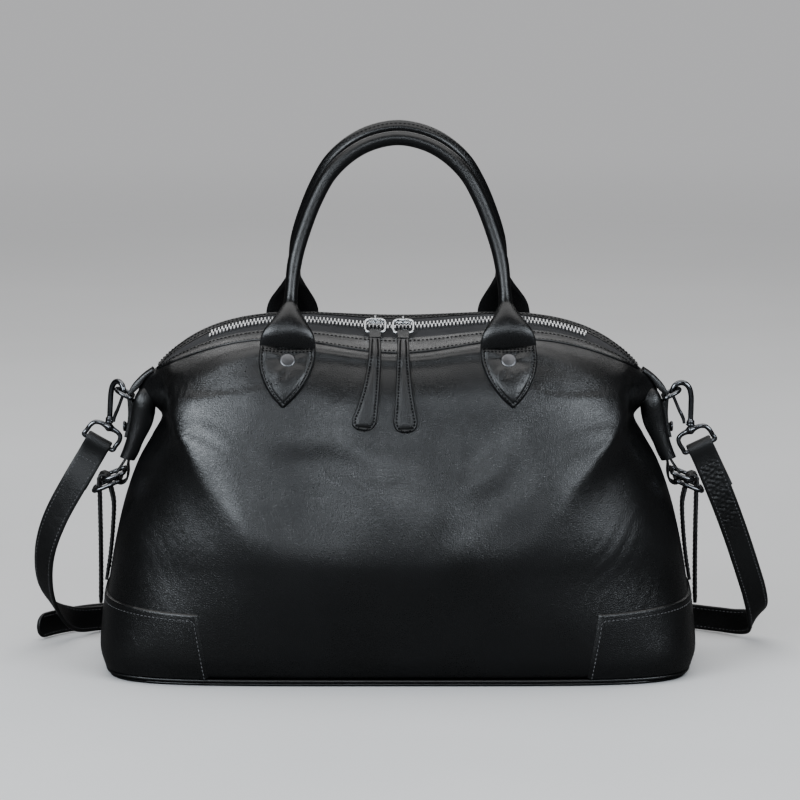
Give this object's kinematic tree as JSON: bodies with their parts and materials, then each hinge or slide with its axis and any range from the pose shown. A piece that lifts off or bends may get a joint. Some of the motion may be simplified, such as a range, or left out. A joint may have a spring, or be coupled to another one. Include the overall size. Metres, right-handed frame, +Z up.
{
  "type": "handbag",
  "caption": "Soft black leather handbag with winged ends, zip top, rolled handles, side cinch belts and a detachable shoulder strap lying behind it.",
  "frame": {"origin": "middle of the base, on the surface that the bag stands on", "axes": "+X to the right as seen from the front, +Y towards the back, +Z up"},
  "size_m": [0.5155, 0.2015, 0.3713],
  "materials": {
    "body_leather": "semi-gloss fine grain",
    "handle_leather": "semi-gloss smooth",
    "strap_leather": "satin, creased",
    "zip_tape": "woven",
    "zip_teeth": "bright",
    "hardware": "dark nickel, polished"
  },
  "bodies": {
    "bag": {"back_panel": "body_leather", "base_panel": "body_leather", "base_welt": "body_leather", "corner_patch_left": "body_leather", "corner_patch_right": "body_leather", "d_holder_left": "strap_leather", "d_holder_right": "strap_leather", "d_ring_left": "hardware", "d_ring_right": "hardware", "front_panel": "body_leather", "handle_back": "handle_leather", "handle_front": "handle_leather", "handle_rivet_back_left": "hardware", "handle_rivet_back_right": "hardware", "handle_rivet_front_left": "hardware", "handle_rivet_front_right": "hardware", "handle_tab_back_left": "body_leather", "handle_tab_back_right": "body_leather", "handle_tab_front_left": "body_leather", "handle_tab_front_right": "body_leather", "pull_link_left": "hardware", "pull_link_right": "hardware", "ring_holder_left": "strap_leather", "ring_holder_right": "strap_leather", "side_belt_left": "strap_leather", "side_belt_right": "strap_leather", "side_ring_lower_left": "hardware", "side_ring_lower_right": "hardware", "side_ring_upper_left": "hardware", "side_ring_upper_right": "hardware", "side_tab_left": "body_leather", "side_tab_right": "body_leather", "strap_buckle": "hardware", "strap_keeper": "strap_leather", "strap_left": "strap_leather", "strap_loop_left": "hardware", "strap_loop_right": "hardware", "strap_right": "strap_leather", "tab_rivet_left": "hardware", "tab_rivet_right": "hardware", "zip_chain": "zip_teeth", "zip_facing_back": "body_leather", "zip_facing_front": "body_leather", "zip_pull_left": "strap_leather", "zip_pull_right": "strap_leather", "zip_slider_left": "hardware", "zip_slider_right": "hardware", "zip_tape": "zip_tape"},
    "hook_left": {"hook_left": "hardware"},
    "gate_left": {"gate_left": "hardware"},
    "hook_right": {"hook_right": "hardware"},
    "gate_right": {"gate_right": "hardware"}
  },
  "joints": [
    {"name": "hook_right_swivel", "type": "hinge", "parent": "bag", "child": "hook_right", "pos_m": [0.2, 0, 0.1608], "axis": [0, 0, 1], "range_deg": [-12, 12]},
    {"name": "gate_right_spring", "type": "hinge", "parent": "hook_right", "child": "gate_right", "pos_m": [0.1951, 0, 0.1664], "axis": [0, 1, 0], "range_deg": [0, 22], "stiffness_Nm_per_rad": 0.05},
    {"name": "hook_left_swivel", "type": "hinge", "parent": "bag", "child": "hook_left", "pos_m": [-0.198, 0.006, 0.1618], "axis": [0.0698, 0, 0.9976], "range_deg": [-4, 4]},
    {"name": "gate_left_spring", "type": "hinge", "parent": "hook_left", "child": "gate_left", "pos_m": [-0.19415, 0.00253, 0.16714], "axis": [-0.7054, -0.7071, 0.0493], "range_deg": [0, 22], "stiffness_Nm_per_rad": 0.05}
  ]
}
